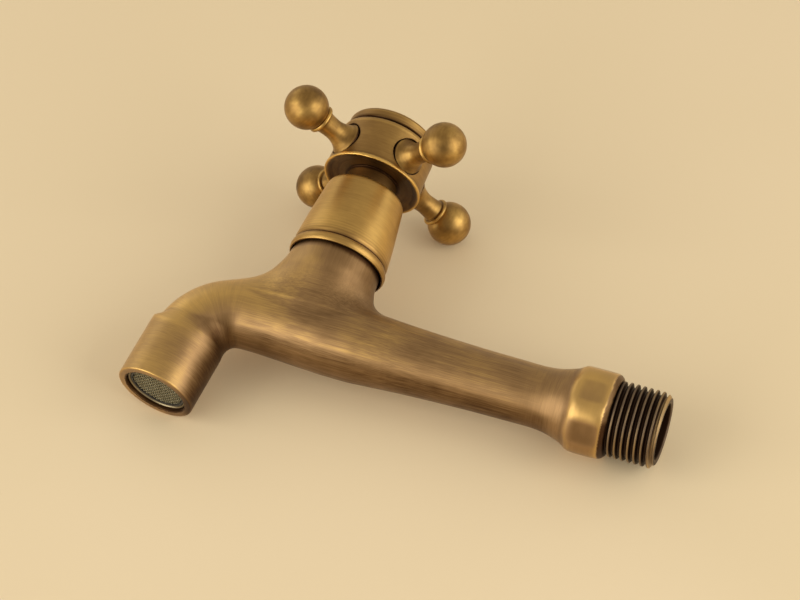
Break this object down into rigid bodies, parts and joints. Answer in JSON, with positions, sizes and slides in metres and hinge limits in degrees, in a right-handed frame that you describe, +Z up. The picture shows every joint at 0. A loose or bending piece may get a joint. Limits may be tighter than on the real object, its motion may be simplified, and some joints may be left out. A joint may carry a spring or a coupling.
{
  "type": "wall-mounted tap",
  "caption": "Wall tap in aged brass: threaded inlet with a hexagon, turned-down spout and a quarter-turn handle with ball-ended arms.",
  "frame": {"origin": "centre of the ring-shaped shoulder between the inlet's hexagon and its thread", "axes": "+Y along the inlet into the wall, +Z up the valve towards the handle's cap, +X to the side; X = 0 halves the cast body"},
  "size_m": [0.0546, 0.1466, 0.1029],
  "materials": {
    "tap_body": "aged and brushed along the arm",
    "bonnet_cover": "aged and brushed along the taper",
    "handle_hub": "aged, with rubbed edges",
    "handle_arm": "aged, with rubbed edges",
    "handle_cap": "aged, with rubbed edges",
    "turned_brass": "turned",
    "aerator_shell": "turned, dull",
    "screen_steel": "woven wire",
    "spring_steel": "stamped",
    "screw_steel": "satin",
    "ceramic": "lapped ceramic",
    "black_rubber": "matt",
    "red_fibre": "pressed fibre",
    "white_polymer": "matt",
    "grey_plastic": "moulded"
  },
  "bodies": {
    "tap": {"tap_body": "tap_body", "seat_seal": "black_rubber", "fixed_disc": "ceramic", "cartridge_housing": "turned_brass", "bonnet_gasket": "red_fibre", "bonnet_cover": "bonnet_cover", "aerator_washer": "black_rubber", "aerator_screen_upper": "screen_steel", "aerator_insert": "grey_plastic", "aerator_screen_lower": "screen_steel", "aerator_shell": "aerator_shell"},
    "handle": {"handle_hub": "handle_hub", "handle_arm_1": "handle_arm", "handle_arm_2": "handle_arm", "handle_arm_3": "handle_arm", "handle_arm_4": "handle_arm", "handle_screw": "screw_steel", "handle_cap": "handle_cap", "spindle": "turned_brass", "spindle_seal_lower": "black_rubber", "spindle_seal_upper": "black_rubber", "friction_washer": "white_polymer", "circlip": "spring_steel", "rotating_disc": "ceramic"}
  },
  "joints": [
    {"name": "handle_turn", "type": "hinge", "parent": "tap", "child": "handle", "pos_m": [0, -0.0885, 0], "axis": [0, 0, 1], "range_deg": [0, 90]}
  ]
}
